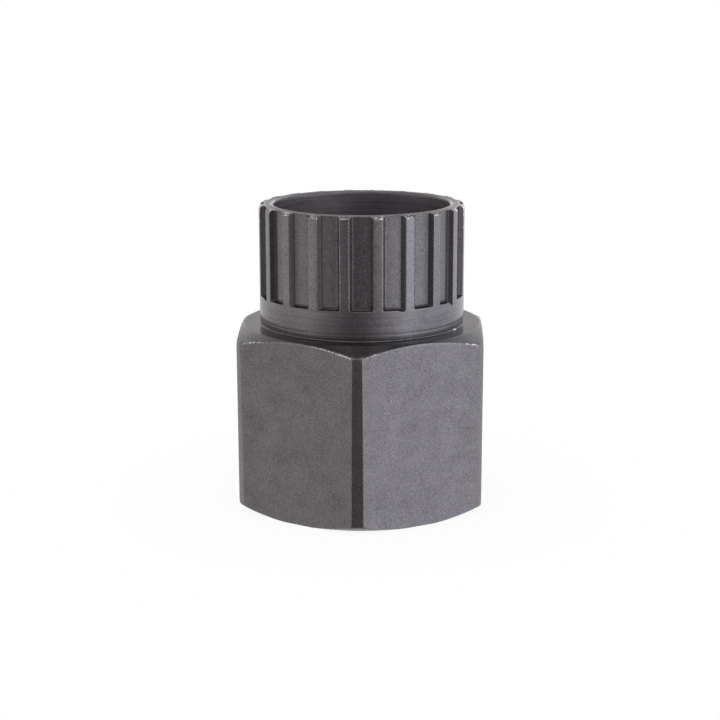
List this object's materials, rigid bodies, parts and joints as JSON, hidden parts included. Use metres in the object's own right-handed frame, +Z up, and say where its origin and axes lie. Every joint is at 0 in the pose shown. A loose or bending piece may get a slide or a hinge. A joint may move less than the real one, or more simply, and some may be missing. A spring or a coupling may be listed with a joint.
{
  "type": "freewheel remover",
  "caption": "Steel freewheel remover: a splined crown that seats in a bicycle freewheel, a plain collar and a hexagonal wrench head, with a stepped through bore.",
  "frame": {"origin": "centre of the hexagon's end face, which the tool stands on", "axes": "+Z runs up the tool's axis from the hexagon to the splined crown; a corner of the hexagon points to -Y and two of its flats face +X and -X"},
  "size_m": [0.0254, 0.0288, 0.0318],
  "materials": {
    "black_oxide_steel": "matt black oxide on finely blasted steel, worn to bare metal on its sharpest edges"
  },
  "bodies": {
    "root": {"remover_body": "black_oxide_steel"}
  },
  "joints": []
}
